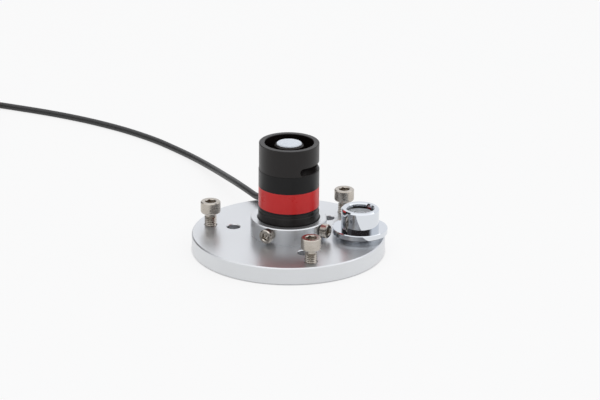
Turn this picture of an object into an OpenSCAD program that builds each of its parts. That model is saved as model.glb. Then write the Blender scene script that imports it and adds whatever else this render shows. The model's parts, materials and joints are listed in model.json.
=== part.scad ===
// A small silicon pyranometer standing in a round levelling fixture, in millimetres.
// The origin is the centre of the plate's underside, +Z is up and -Y is the front.

/* [Base plate] */
// Diameter of the plate
plate_d = 76.2; // [72:0.1:90]
// Thickness of the plate
plate_t = 7; // [6:0.1:9]
// Chamfer round the plate's edges
plate_edge = 0.4; // [0.2:0.1:0.8]
// Turn of the screw and hole pattern about the plate's axis
pattern_turn = 46.1; // [40:0.1:52]

/* [Sensor collar] */
// Wall of the collar round the sensor
collar_wall = 2.9; // [2.8:0.1:4]
// Height of the collar above the plate
collar_h = 6.7; // [6:0.1:7]
// Chamfer on the collar's top edges
collar_edge = 0.35; // [0.2:0.05:0.6]
// Height of the sensor's seat above the plate
seat_h = 0.7; // [0.3:0.1:1.2]
// Clearance between the sensor's base and the collar
collar_fit = 0.1; // [0.05:0.05:0.3]

/* [Mounting holes] */
// Diameter of the mounting holes
mount_hole_d = 5.2; // [4:0.1:5.6]
// Diameter of the circle of mounting holes
mount_circle_d = 45; // [42:0.5:49]

/* [Levelling screws] */
// Diameter of the circle of levelling screws
levelling_circle_d = 63.8; // [61:0.1:66]
// Thread diameter of a levelling screw
levelling_thread_d = 4.83; // [4:0.01:5.5]
// Thread pitch of a levelling screw
levelling_pitch = 0.79; // [0.7:0.01:1]
// Length of a levelling screw under its head
levelling_length = 11.6; // [10:0.1:14]
// Height of a levelling screw's tip above the underside
levelling_tip_z = 0.4; // [0.1:0.1:1.5]
// Diameter of a levelling screw's head
levelling_head_d = 7.9; // [7.4:0.1:9]
// Height of a levelling screw's head
levelling_head_h = 4.9; // [4:0.1:6]
// Hexagon key size of a levelling screw, across its flats
levelling_key = 3.97; // [3:0.01:4.5]

/* [Clamp screws] */
// Bearing of the left clamp screw
clamp_left_turn = -120; // [-125:1:-115]
// Bearing of the right clamp screw
clamp_right_turn = -30; // [-36:1:-27]
// Height of the clamp screws above the plate
clamp_rise = 3.9; // [3.4:0.1:4]
// Thread diameter of a clamp screw
clamp_thread_d = 3.4; // [3:0.1:3.8]
// Diameter of a clamp screw's head
clamp_head_d = 5.6; // [5:0.1:6]
// Height of a clamp screw's head
clamp_head_h = 2.9; // [2.4:0.1:3.4]
// Hexagon key size of a clamp screw, across its flats
clamp_key = 2.8; // [2:0.1:3]

/* [Sensor] */
// Diameter of the sensor's head
head_d = 23.6; // [23:0.1:25]
// Whole height of the sensor
sensor_h = 37; // [35:0.1:40]
// How far the base's shoulder stands out past the head, on the radius
shoulder_step = 0.2; // [0.1:0.05:0.4]
// Height of the base's shoulder above the sensor's seat
shoulder_h = 9.1; // [8:0.1:9.4]
// Height of the joint between base and head above the seat
joint_h = 10.5; // [10:0.1:11]
// Wall of the rim round the moat
rim_wall = 2.15; // [1.8:0.05:2.6]
// Depth of the moat round the diffuser
moat_depth = 10.5; // [9.8:0.1:11]
// Diameter of the diffuser
diffuser_d = 9.9; // [9.6:0.1:10.4]
// Length of the diffuser
diffuser_length = 6; // [5:0.1:7]
// How far the diffuser stands proud of its post
diffuser_proud = 0.5; // [0.3:0.1:0.8]
// Height of the drain slot
slot_h = 3; // [2:0.1:3.4]
// Bearing of the drain slot's left end
slot_from = -68; // [-74:1:-60]
// Bearing of the drain slot's right end
slot_to = 22; // [10:1:40]

/* [Label] */
// Height of the label band
label_h = 15.3; // [12:0.1:15.4]
// Thickness of the label
label_t = 0.1; // [0.05:0.05:0.2]
// Height of the label's lower edge above the joint
label_rise = 0.4; // [0.2:0.1:0.6]
// Height of the red band
red_band_h = 8.1; // [6:0.1:9]
// Height of the red band's lower edge above the label's lower edge
red_band_rise = 0.3; // [0.2:0.1:1]

/* [Spirit level] */
// Distance of the level's centre from the plate's axis
level_reach = 28.2; // [27.8:0.1:29]
// Bearing of the level
level_turn = -5.5; // [-10:0.5:-3]
// Diameter of the level's flange
level_flange_d = 22; // [20:0.5:23]
// Thickness of the level's flange
level_flange_t = 2.9; // [2.2:0.1:3.2]
// Diameter of the level's cup
level_cup_d = 15; // [14.6:0.1:16]
// Height of the level above the plate
level_h = 11.6; // [11:0.1:13]
// Diameter of the level's window
level_window_d = 10.4; // [9.4:0.1:10.8]
// Depth of the window below the cup's top
level_lip = 1.3; // [1:0.1:1.6]
// Diameter of the bubble
bubble_d = 4.6; // [3:0.1:6]

/* [Cable] */
// Whole length of the cable
cable_length = 2000; // [1800:10:2200]
// Diameter of the cable
cable_d = 2.8; // [2.6:0.05:2.85]
// Turns in one layer of the coil
layer_turns = 4; // [3:1:4]
// Distance between neighbouring turns of the coil
turn_pitch = 3.25; // [3.25:0.01:3.3]

/* [Plug] */
// Diameter of the plug's bayonet collar
plug_collar_d = 14.5; // [14:0.1:15.5]
// Length of the plug's bayonet collar
plug_collar_length = 12.4; // [12:0.1:14]
// Length of the plug's tapered boot
boot_length = 16; // [14:0.5:20]
// Diameter of the plug's centre pin
plug_pin_d = 1.35; // [1.2:0.05:1.5]

/* [Hidden] */
$fn = 96;

// Overrun of a cut past the face that it opens
cut = 1;
// Running clearance of a thread or a shaft in its hole, on the radius
running_fit = 0.05;
// Seating clearance between parts that lie against each other, on the radius
seat_fit = 0.02;
// Angle of a screw socket's drill point
drill_angle = 30;
// Sides of a hexagon socket
hex_sides = 6;
// Thread depth as a share of its pitch
thread_depth_share = 0.55;
// Chamfer on a screw head's top edge
head_chamfer = 0.35;
// Rounding under a levelling screw's head
head_round = 0.9;
// Socket depth as a share of the head's height
socket_depth_share = 0.55;

// Sensor collar
collar_top_z = plate_t + collar_h;
seat_z = plate_t + seat_h;
head_r = head_d / 2;
shoulder_r = head_r + shoulder_step;
collar_bore_r = shoulder_r + collar_fit;
collar_r = collar_bore_r + collar_wall;

// Levelling screws, all three on one circle with the mounting holes inside it
pattern_step = 120;
rear_turn = pattern_turn;
left_turn = pattern_turn + pattern_step;
front_turn = pattern_turn + 2 * pattern_step;
levelling_r = levelling_circle_d / 2;
levelling_seat_z = levelling_tip_z + levelling_length;
mount_r = mount_circle_d / 2;
hole_edge = 0.25;

// Clamp screws, whose tips bear on the sensor's base
clamp_z = plate_t + clamp_rise;
clamp_pitch = 0.7;
clamp_tip_r = shoulder_r + seat_fit;
clamp_head_gap = 0.2;
clamp_length = collar_r + clamp_head_gap - clamp_tip_r;

// Sensor base and head
sensor_top_z = seat_z + sensor_h;
shoulder_z = seat_z + shoulder_h;
joint_z = seat_z + joint_h;
seam_edge = 0.15;
housing_wall = 2.3;
// Height between the joint and the moat's floor, which spigot, contacts and diode share
housing_room = sensor_h - moat_depth - joint_h;
spigot_share = 0.35;
spigot_h = spigot_share * housing_room;
spigot_gap = 0.3;
spigot_fit = 0.1;
housing_bore_r = head_r - housing_wall;
spigot_r = housing_bore_r - spigot_fit;
spigot_top_z = joint_z + spigot_h;
housing_step_z = spigot_top_z + spigot_gap;
seal_wire_d = 1.1;
seal_rise_share = 0.57;
seal_rise = seal_rise_share * spigot_h;
groove_half_share = 0.6;
seal_seat_r = housing_bore_r - seal_wire_d - 2 * seat_fit;
wiring_r = 4.6;
wiring_floor_h = 5;
electronics_r = 5.4;
rim_inner_r = head_r - rim_wall;
moat_floor_z = sensor_top_z - moat_depth;
rim_edge = 0.2;

// Diffuser on its post in the middle of the moat
diffuser_r = diffuser_d / 2;
diffuser_drop = 0.1;
diffuser_dome = 0.2;
diffuser_edge = 0.25;
diffuser_top_z = sensor_top_z - diffuser_drop;
diffuser_low_z = diffuser_top_z - diffuser_length;
post_fit = 0.05;
post_bore_r = diffuser_r + post_fit;
post_wall = 0.7;
post_r = post_bore_r + post_wall;
post_top_z = diffuser_top_z - diffuser_proud;
post_taper = 0.55;
gasket_t = 0.5;
gasket_wall = 0.5;
gasket_ledge = 0.45;
diode_bore_r = diffuser_r - gasket_ledge;
electronics_top_z = moat_floor_z - housing_wall;

// Photodiode, its board and the contacts between head and base
board_t = 1.2;
board_gap = 0.1;
board_fit = 0.2;
board_top_z = electronics_top_z - board_gap;
board_low_z = board_top_z - board_t;
flange_fit = 0.15;
header_r = diode_bore_r - flange_fit;
header_t = 0.6;
header_rim = 0.45;
cap_r = header_r - header_rim;
cap_h = 4.2;
cap_wall = 0.25;
cap_window_r = 2.7;
window_t = 0.4;
chip_w = 3.2;
chip_t = 0.35;
leg_d = 0.45;
leg_r = 2.2;
leg_count = 2;
leg_below = 0.4;
retainer_t = 0.8;
retainer_wall = 0.6;
socket_w = 7;
socket_depth = 4;
pin_d = 1;
pin_spread = 3.2;
pin_fit = 0.05;
pin_below = 2;
socket_low_z = housing_step_z + spigot_gap;
socket_top_z = board_low_z - board_gap;
pin_top_z = socket_top_z - pin_d;
insulator_t = 2.6;
insulator_low_z = spigot_top_z - insulator_t;

// Two screws from below that hold the base to the head
base_screw_r = 7;
base_screw_d = 2;
base_screw_head_d = 3.8;
base_screw_head_h = 2;
base_screw_head_fit = 0.1;
base_screw_key = 1.5;
base_screw_grip = 2.5;
base_screw_pitch = 0.4;
base_screw_sink = 0.3;
base_screw_seat_z = seat_z + base_screw_sink + base_screw_head_h;
base_screw_top_z = housing_step_z + base_screw_grip;
base_screw_length = base_screw_top_z - base_screw_seat_z;
tapped_depth_gap = 0.8;

// Label and its red band
label_low_z = joint_z + label_rise;
label_r = head_r + seat_fit;
label_span = 348;
label_start = 96;
red_low_z = label_low_z + red_band_rise;

// Spirit level
level_top_z = plate_t + level_h;
level_flange_top_z = plate_t + level_flange_t;
level_cup_r = level_cup_d / 2;
level_window_r = level_window_d / 2;
window_ledge = 1;
level_bore_r = level_window_r + window_ledge;
level_edge = 1;
level_lip_edge = 0.45;
flange_edge = 0.4;
neck_round = 0.2;
glass_t = 2;
glass_top_z = level_top_z - level_lip;
glass_low_z = glass_top_z - glass_t;
level_seal_t = 0.5;
target_t = 0.8;
plug_t = 3.4;
plug_top_z = plate_t + plug_t;
target_top_z = plug_top_z + target_t;
seal_low_z = glass_low_z - level_seal_t;
bubble_share = 0.4;
bubble_steps = 12;
bubble_gap = 0.05;
fix_screw_d = 3;
fix_screw_pitch = 0.5;
fix_screw_head_r = 2.9;
fix_screw_sink = 0.2;
fix_screw_end_gap = 0.6;
fix_hole_gap = 0.2;
fix_key = 2;

// Cable: the route of its free stretch, from inside the sensor's base to the coil
cable_r = cable_d / 2;
lead_route = [
    [-1, 4, 15.75], [-2.5, 10, 15.75], [-3.75, 15, 15.75], [-4.75, 19, 15.6], [-6.4, 23.6, 14.3],
    [-8.6, 28, 11.95], [-10.9, 32, 9.75], [-13.2, 35.6, 8.62], [-16.1, 41.3, 8.42],
    [-19.6, 48.9, 7.95], [-22.7, 56.6, 7.1], [-25.8, 64.7, 5.95], [-28.9, 73.1, 4.7],
    [-32.2, 81.4, 3.55], [-35.9, 89.5, 2.65], [-40.1, 97.4, 2], [-44.9, 105, 1.6],
    [-50.8, 113, cable_r], [-57.4, 120.9, cable_r], [-65, 128.5, cable_r],
    [-73.3, 135.8, cable_r], [-82.1, 142.4, cable_r], [-91.2, 148.4, cable_r],
    [-100.8, 153.9, cable_r], [-110.5, 158.8, cable_r], [-120.3, 163.2, cable_r],
    [-130.1, 167.4, cable_r], [-139.5, 171.2, cable_r], [-145.5, 173.6, cable_r],
    [-151.5, 176, cable_r]
];
lead_sides = 8;
coil_sides = 6;
coil_rings = 24;
coil_layers = 4;
// The last stretch as steps away from the coil's end, down to the height of the plug's axis
plug_z = plug_collar_d / 2;
tail_drop = cable_r + (coil_layers - 1) * turn_pitch - plug_z;
tail_steps = [
    [0, 0, 0], [-2.1, -4.5, -0.03 * tail_drop], [-4, -9.5, -0.15 * tail_drop],
    [-5, -15, -0.4 * tail_drop], [-5.4, -20.5, -0.7 * tail_drop], [-5.5, -26, -0.92 * tail_drop],
    [-5.5, -31.5, -tail_drop], [-5.5, -37, -tail_drop], [-5.5, -57, -tail_drop]
];
// Turns past whole layers, which point the coil's end away from the camera's side
extra_turn_share = 0.25;
ring_step_share = 2.5;
ring_step = ring_step_share * cable_d;
gland_r = 1.95;
gland_tip_r = 1.75;
gland_in_r = 6.5;
gland_out_r = 17;
gland_bore_r = cable_r + running_fit;
cable_turn = atan2(lead_route[2].y, lead_route[2].x);
cable_z = lead_route[2].z;
tie_t = 0.8;
tie_w = 4;
tie_gap = 0.2;
tie_turn = 225;
climb_share = 0.5;

// Points of the smooth line through the points p, about step apart
function spline_at(a, b, c, d, t) =
    0.5 * (2 * b + (c - a) * t + (2 * a - 5 * b + 4 * c - d) * t * t
        + (3 * b - a - 3 * c + d) * t * t * t);
function smooth_line(p, step) = [
    for (i = [0 : len(p) - 2])
        let (a = p[max(i - 1, 0)], b = p[i], c = p[i + 1], d = p[min(i + 2, len(p) - 1)])
        let (parts = max(1, round(norm(c - b) / step)))
        for (k = [0 : parts - 1]) spline_at(a, b, c, d, k / parts),
    p[len(p) - 1]
];
function line_length(p) = let (d = [for (i = [1 : len(p) - 1]) norm(p[i] - p[i - 1])]) sum(d);
function sum(v, i = 0) = i < len(v) ? v[i] + sum(v, i + 1) : 0;
function unit(v) = v / norm(v);

// Where the coil lies: tangent to the lead's last step, on its left
lead_line = smooth_line(lead_route, ring_step);
lead_end = lead_route[len(lead_route) - 1];
lead_heading = unit(lead_end - lead_route[len(lead_route) - 2]);
left_of_lead = [-lead_heading.y, lead_heading.x, 0];
tail_length = line_length(smooth_line(tail_steps, ring_step));
coil_turns = coil_layers * layer_turns + extra_turn_share;
coil_mid_r = (cable_length - line_length(lead_line) - tail_length - 2 * cable_d) / (2 * PI * coil_turns);
turns_per_layer = coil_turns / coil_layers;
coil_spread = turn_pitch * turns_per_layer;
coil_outer_r = coil_mid_r + coil_spread / 2;
coil_inner_r = coil_mid_r - coil_spread / 2;
coil_centre = lead_end + lead_heading * cable_d + left_of_lead * coil_outer_r;
coil_start_turn = atan2(-left_of_lead.y, -left_of_lead.x);

// The coil spirals in and out at a steady rate and climbs in the half turn where it reverses
function fold(t) = let (m = t % 2) m > 1 ? 2 - m : m;
function ease(t) = let (c = min(max(t, 0), 1)) c * c * (3 - 2 * c);
function climbed(t) = sum([
    for (k = [1 : coil_layers - 1]) ease((t - k * turns_per_layer) / climb_share + 0.5)
]);
function coil_point(t) =
    let (a = coil_start_turn + 360 * t)
    let (r = coil_outer_r - coil_spread * fold(t / turns_per_layer))
    coil_centre + [r * cos(a), r * sin(a), turn_pitch * climbed(t)];
coil_steps = round(coil_turns * coil_rings);
coil_loops = [for (i = [0 : coil_steps]) coil_point(coil_turns * i / coil_steps)];
coil_out_heading = unit(coil_loops[coil_steps] - coil_loops[coil_steps - 1]);
coil_end = coil_loops[coil_steps] + coil_out_heading * cable_d;
coil_line = concat([lead_end], coil_loops, [coil_end]);
// Least distance between turns that are at least half a turn apart along the coil
coil_gap = min([
    for (i = [0 : coil_steps]) for (j = [i + coil_rings / 2 : 1 : coil_steps])
        norm(coil_loops[i] - coil_loops[j])
]) - cable_d;
echo(coil_gap = coil_gap, coil_mid_r = coil_mid_r, coil_inner_r = coil_inner_r);

// Where the tail and the plug lie
tail_route = [for (s = tail_steps) coil_end + s];
tail_end = tail_route[len(tail_route) - 1];
tail_heading = unit(tail_end - tail_route[len(tail_route) - 2]);
plug_turn = atan2(tail_heading.y, tail_heading.x);

// Plug, along its own +Z from the boot's rear end
boot_rear_r = 2.2;
boot_front_r = 3.7;
crimp_r = 2.9;
crimp_length = 11;
boot_taper_gap = 2;
crimp_start = boot_length - crimp_length;
rear_body_r = 4.4;
rear_body_length = 5.5;
flats_w = 7.8;
body_z = boot_length;
shoulder_plug_r = 5.6;
shoulder_plug_t = 1.6;
contact_r = 4.05;
contact_wall = 0.45;
contact_length = 11.4;
contact_slots = 4;
contact_slot_w = 0.4;
contact_slot_length = 6;
collar_bore = 4.9;
collar_fit_gap = 0.1;
collar_rear_wall = 1.4;
grip_length = 7;
grip_ridges = 24;
grip_depth = 0.5;
collar_front_r = 5.9;
track_w = 2.2;
track_rise_share = 1.6;
track_slant_share = 0.5;
track_turn = 80;
track_steps = 4;
insulator_r = 2.4;
insulator_length = 6.5;
pin_stick_out = 5.2;
gasket_ring_t = 1.2;
collar_rear_z = body_z + rear_body_length;
plug_face_z = collar_rear_z + plug_collar_length;
plug_origin = tail_end - tail_heading * boot_length;
echo(coil_end = coil_end, tail_end = tail_end, plug_origin = plug_origin, plug_turn = plug_turn);
echo(lead_length = line_length(lead_line), tail_length = tail_length, coil_outer_r = coil_outer_r);
echo(coil_centre = coil_centre, plug_face = plug_origin + tail_heading * plug_face_z);

// Points of an arc in the plane of an outline
function arc(x, z, r, from, to, steps = 6) = [
    for (i = [0 : steps]) let (a = from + (to - from) * i / steps) [x + r * cos(a), z + r * sin(a)]
];

// A solid of revolution about Z from its half outline
module turned(outline) {
    rotate_extrude() polygon(outline);
}

// A ring or, with no inner radius, a disc that stands on z
module ring(outer_r, inner_r, z, height) {
    translate([0, 0, z]) difference() {
        cylinder(r = outer_r, h = height);
        if (inner_r > 0) translate([0, 0, -cut]) cylinder(r = inner_r, h = height + 2 * cut);
    }
}

// Places its children on a circle about Z
module at_turn(turn, radius, z = 0) {
    rotate([0, 0, turn]) translate([radius, 0, z]) children();
}

// Half outline of a threaded shank that ends at its tip, below z = 0
function shank_outline(thread_d, pitch, length) =
    let (depth = pitch * thread_depth_share)
    let (root_r = thread_d / 2 - depth)
    let (turns = floor((length - pitch) / pitch))
    concat(
        [[0, -length], [root_r, -length]],
        [for (i = [0 : turns - 1]) each [
            [root_r, -length + (i + 0.25) * pitch],
            [thread_d / 2, -length + (i + 0.75) * pitch]
        ]],
        [[root_r, -length + (turns + 0.25) * pitch]]
    );

// A socket-head screw whose head stands on z = 0, with its thread below
module socket_screw(thread_d, pitch, length, screw_head_d, screw_head_h, key, round_r) {
    screw_head_r = screw_head_d / 2;
    socket_r = key / 2 / cos(180 / hex_sides);
    depth = screw_head_h * socket_depth_share;
    difference() {
        turned(concat(
            shank_outline(thread_d, pitch, length),
            [[thread_d / 2 - pitch * thread_depth_share, 0]],
            arc(screw_head_r - round_r, round_r, round_r, -90, 0),
            [
                [screw_head_r, screw_head_h - head_chamfer],
                [screw_head_r - head_chamfer, screw_head_h],
                [0, screw_head_h]
            ]
        ));
        translate([0, 0, screw_head_h - depth])
            cylinder(r = socket_r, h = depth + cut, $fn = hex_sides);
        translate([0, 0, screw_head_h - depth - key / 2 * tan(drill_angle)])
            cylinder(r1 = 0, r2 = key / 2, h = key / 2 * tan(drill_angle) + seat_fit);
        translate([0, 0, screw_head_h - head_chamfer])
            cylinder(r1 = key / 2, r2 = key / 2 + 2 * head_chamfer, h = 2 * head_chamfer);
    }
}

// A through hole in the plate with broken edges
module plate_hole(radius) {
    translate([0, 0, -cut]) cylinder(r = radius, h = plate_t + 2 * cut);
    for (end = [0, 1]) translate([0, 0, end * plate_t]) mirror([0, 0, end])
        translate([0, 0, -hole_edge])
            cylinder(r1 = radius + 2 * hole_edge, r2 = radius, h = 2 * hole_edge);
}

module base_plate() {
    plate_r = plate_d / 2;
    color([0.84, 0.85, 0.87]) difference() {
        turned([
            [0, 0],
            [plate_r - plate_edge, 0],
            [plate_r, plate_edge],
            [plate_r, plate_t - plate_edge],
            [plate_r - plate_edge, plate_t],
            [collar_r, plate_t],
            [collar_r, collar_top_z - collar_edge],
            [collar_r - collar_edge, collar_top_z],
            [collar_bore_r + collar_edge, collar_top_z],
            [collar_bore_r, collar_top_z - collar_edge],
            [collar_bore_r, seat_z],
            [0, seat_z]
        ]);
        for (turn = [left_turn, front_turn, rear_turn]) {
            at_turn(turn, levelling_r) plate_hole(levelling_thread_d / 2 + running_fit);
            at_turn(turn, mount_r) plate_hole(mount_hole_d / 2);
        }
        for (turn = [clamp_left_turn, clamp_right_turn])
            rotate([0, 0, turn]) translate([collar_bore_r - cut, 0, clamp_z]) rotate([0, 90, 0])
                cylinder(r = clamp_thread_d / 2 + running_fit, h = collar_wall + 2 * cut);
        at_turn(level_turn, level_reach, -cut)
            cylinder(r = fix_screw_d / 2 + fix_hole_gap, h = plate_t + 2 * cut);
        at_turn(level_turn, level_reach, -cut)
            cylinder(
                r1 = fix_screw_head_r + fix_screw_sink + cut,
                r2 = 0,
                h = fix_screw_head_r + fix_screw_sink + cut
            );
    }
}

module levelling_screw(turn) {
    color([0.62, 0.59, 0.55]) at_turn(turn, levelling_r, levelling_seat_z)
        socket_screw(
            levelling_thread_d, levelling_pitch, levelling_length,
            levelling_head_d, levelling_head_h, levelling_key, head_round
        );
}

module clamp_screw(turn) {
    color([0.66, 0.63, 0.6]) rotate([0, 0, turn])
        translate([clamp_tip_r + clamp_length, 0, clamp_z]) rotate([0, 90, 0])
            socket_screw(
                clamp_thread_d, clamp_pitch, clamp_length,
                clamp_head_d, clamp_head_h, clamp_key, head_chamfer
            );
}

module sensor_base() {
    groove_low_z = joint_z + seal_rise - seal_wire_d * groove_half_share;
    groove_top_z = joint_z + seal_rise + seal_wire_d * groove_half_share;
    color([0.1, 0.1, 0.1]) difference() {
        turned([
            [0, seat_z],
            [shoulder_r - seam_edge, seat_z],
            [shoulder_r, seat_z + seam_edge],
            [shoulder_r, shoulder_z - seam_edge],
            [shoulder_r - seam_edge, shoulder_z],
            [head_r, shoulder_z],
            [head_r, joint_z - seam_edge],
            [head_r - seam_edge, joint_z],
            [spigot_r, joint_z],
            [spigot_r, groove_low_z],
            [seal_seat_r, groove_low_z],
            [seal_seat_r, groove_top_z],
            [spigot_r, groove_top_z],
            [spigot_r, spigot_top_z - rim_edge],
            [spigot_r - rim_edge, spigot_top_z],
            [wiring_r, spigot_top_z],
            [wiring_r, seat_z + wiring_floor_h],
            [0, seat_z + wiring_floor_h]
        ]);
        rotate([0, 0, cable_turn]) translate([0, 0, cable_z]) rotate([0, 90, 0])
            cylinder(r = gland_r + seat_fit, h = shoulder_r + cut);
        for (side = [-1, 1]) at_turn(cable_turn + side * 90, base_screw_r) {
            translate([0, 0, seat_z - cut]) cylinder(
                r = base_screw_head_d / 2 + base_screw_head_fit,
                h = base_screw_seat_z - seat_z + cut
            );
            translate([0, 0, seat_z])
                cylinder(r = base_screw_d / 2 + fix_hole_gap, h = spigot_top_z);
        }
    }
}

module sensor_housing() {
    slot_end = asin(slot_h / 2 / head_r);
    color([0.12, 0.12, 0.12]) difference() {
        turned([
            [diode_bore_r, electronics_top_z],
            [electronics_r, electronics_top_z],
            [electronics_r, housing_step_z],
            [housing_bore_r, housing_step_z],
            [housing_bore_r, joint_z],
            [head_r - seam_edge, joint_z],
            [head_r, joint_z + seam_edge],
            [head_r, sensor_top_z - rim_edge],
            [head_r - rim_edge, sensor_top_z],
            [rim_inner_r + rim_edge, sensor_top_z],
            [rim_inner_r, sensor_top_z - rim_edge],
            [rim_inner_r, moat_floor_z],
            [post_r, moat_floor_z],
            [post_r, post_top_z - post_taper],
            [post_r - post_taper, post_top_z],
            [post_bore_r, post_top_z],
            [post_bore_r, diffuser_low_z - gasket_t],
            [diode_bore_r, diffuser_low_z - gasket_t]
        ]);
        translate([0, 0, moat_floor_z]) {
            rotate([0, 0, slot_from + slot_end])
                rotate_extrude(angle = slot_to - slot_from - 2 * slot_end)
                    translate([rim_inner_r - cut / 2, 0]) square([rim_wall + cut, slot_h]);
            for (turn = [slot_from + slot_end, slot_to - slot_end])
                rotate([0, 0, turn]) translate([rim_inner_r - cut / 2, 0, slot_h / 2])
                    rotate([0, 90, 0]) cylinder(r = slot_h / 2, h = rim_wall + cut);
        }
        for (side = [-1, 1]) at_turn(cable_turn + side * 90, base_screw_r, housing_step_z - cut)
            cylinder(
                r = base_screw_d / 2 + running_fit,
                h = base_screw_top_z + tapped_depth_gap - housing_step_z + cut
            );
    }
}

module head_seal() {
    ring_r = seal_seat_r + seal_wire_d / 2 + seat_fit;
    color([0.2, 0.2, 0.2]) translate([0, 0, joint_z + seal_rise]) rotate_extrude()
        translate([ring_r, 0]) circle(d = seal_wire_d, $fn = 24);
}

module base_screws() {
    color([0.7, 0.7, 0.7]) for (side = [-1, 1])
        at_turn(cable_turn + side * 90, base_screw_r, base_screw_seat_z) mirror([0, 0, 1])
            socket_screw(
                base_screw_d, base_screw_pitch, base_screw_length,
                base_screw_head_d, base_screw_head_h, base_screw_key, head_chamfer / 2
            );
}

module diffuser() {
    dome_r = (diffuser_r * diffuser_r + diffuser_dome * diffuser_dome) / (2 * diffuser_dome);
    dome_half = asin((diffuser_r - diffuser_edge) / dome_r);
    color([0.93, 0.95, 0.98]) turned(concat(
        [[0, diffuser_low_z], [diffuser_r, diffuser_low_z]],
        [[diffuser_r, diffuser_top_z - diffuser_dome - diffuser_edge]],
        arc(0, diffuser_top_z - dome_r, dome_r, 90 - dome_half, 90)
    ));
}

module diffuser_gasket() {
    color([0.25, 0.25, 0.25])
        ring(diffuser_r, diffuser_r - gasket_wall, diffuser_low_z - gasket_t, gasket_t);
}

module photodiode_header() {
    color([0.8, 0.7, 0.4]) {
        ring(header_r, 0, board_top_z, header_t);
        for (k = [0 : leg_count - 1]) at_turn(k * 360 / leg_count, leg_r, board_low_z - leg_below)
            cylinder(d = leg_d, h = board_t + leg_below + header_t, $fn = 24);
    }
}

module photodiode_cap() {
    low_z = board_top_z + header_t;
    color([0.75, 0.75, 0.72]) difference() {
        ring(cap_r, 0, low_z, cap_h);
        ring(cap_r - cap_wall, 0, low_z - cut, cap_h + cut - cap_wall);
        ring(cap_window_r, 0, low_z, cap_h + cut);
    }
}

module photodiode_window() {
    top_z = board_top_z + header_t + cap_h - cap_wall;
    color([0.8, 0.9, 0.9, 0.4]) ring(cap_r - cap_wall - running_fit, 0, top_z - window_t, window_t);
}

module photodiode_chip() {
    color([0.15, 0.2, 0.35]) translate([-chip_w / 2, -chip_w / 2, board_top_z + header_t])
        cube([chip_w, chip_w, chip_t]);
}

module circuit_board() {
    color([0.1, 0.4, 0.2]) difference() {
        ring(electronics_r - board_fit, 0, board_low_z, board_t);
        for (k = [0 : leg_count - 1]) at_turn(k * 360 / leg_count, leg_r, board_low_z - cut)
            cylinder(d = leg_d + 2 * pin_fit, h = board_t + 2 * cut);
    }
}

module board_retainer() {
    outer_r = electronics_r - running_fit;
    color([0.6, 0.6, 0.6]) translate([0, 0, board_low_z - retainer_t]) difference() {
        cylinder(r = outer_r, h = retainer_t);
        translate([0, 0, -cut]) cylinder(r = outer_r - retainer_wall, h = retainer_t + 2 * cut);
        translate([0, -retainer_wall, -cut])
            cube([outer_r + cut, 2 * retainer_wall, retainer_t + 2 * cut]);
    }
}

module contact_socket() {
    color([0.15, 0.15, 0.15]) translate([0, 0, socket_low_z]) difference() {
        translate([-socket_w / 2, -socket_depth / 2, 0])
            cube([socket_w, socket_depth, socket_top_z - socket_low_z - leg_below]);
        for (side = [-1, 1]) translate([side * pin_spread / 2, 0, -cut])
            cylinder(d = pin_d + 2 * pin_fit, h = pin_top_z - socket_low_z + cut + pin_fit);
    }
}

module contact_pins() {
    low_z = insulator_low_z - pin_below;
    color([0.85, 0.7, 0.3]) for (side = [-1, 1]) translate([side * pin_spread / 2, 0, low_z])
        turned([
            [0, 0], [pin_d / 2, 0], [pin_d / 2, pin_top_z - low_z - pin_d / 2],
            [pin_d / 4, pin_top_z - low_z], [0, pin_top_z - low_z]
        ]);
}

module pin_insulator() {
    color([0.9, 0.88, 0.8]) difference() {
        ring(wiring_r - running_fit, 0, insulator_low_z, insulator_t);
        for (side = [-1, 1]) translate([side * pin_spread / 2, 0, insulator_low_z - cut])
            cylinder(d = pin_d + 2 * seat_fit, h = insulator_t + 2 * cut);
    }
}

// Two wires from the cable's end up to the pins
module core_wires() {
    wire_d = 0.7;
    start = lead_route[0];
    inward = [cos(cable_turn), sin(cable_turn), 0];
    across = [-sin(cable_turn), cos(cable_turn), 0];
    pin_end_z = insulator_low_z - pin_below;
    color([0.8, 0.2, 0.15]) for (side = [-1, 1]) {
        from = start - across * side * wire_d - inward * seat_fit;
        to = [side * pin_spread / 2, 0, pin_end_z - seat_fit];
        route = [from, from - inward * wire_d, to - [0, 0, 2 * wire_d], to - [0, 0, wire_d], to];
        tube(smooth_line(route, wire_d), wire_d / 2, coil_sides, across);
    }
}

module cable_gland() {
    color([0.07, 0.07, 0.07]) rotate([0, 0, cable_turn]) translate([0, 0, cable_z])
        rotate([0, 90, 0]) turned([
            [gland_bore_r, gland_in_r],
            [gland_r, gland_in_r],
            [gland_r, shoulder_r],
            [gland_tip_r + seam_edge, gland_out_r - seam_edge],
            [gland_tip_r, gland_out_r],
            [gland_bore_r, gland_out_r]
        ]);
}

// One strip of the label, open at the back where its ends meet
module label_strip(low_z, height) {
    translate([0, 0, low_z]) rotate([0, 0, label_start]) rotate_extrude(angle = label_span)
        translate([label_r, 0]) square([label_t, height]);
}

module label_band() {
    color([0.1, 0.1, 0.1]) {
        label_strip(label_low_z, red_band_rise);
        label_strip(red_low_z + red_band_h, label_h - red_band_rise - red_band_h);
    }
}

module label_red_band() {
    color([0.79, 0.16, 0.16]) label_strip(red_low_z, red_band_h);
}

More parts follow.
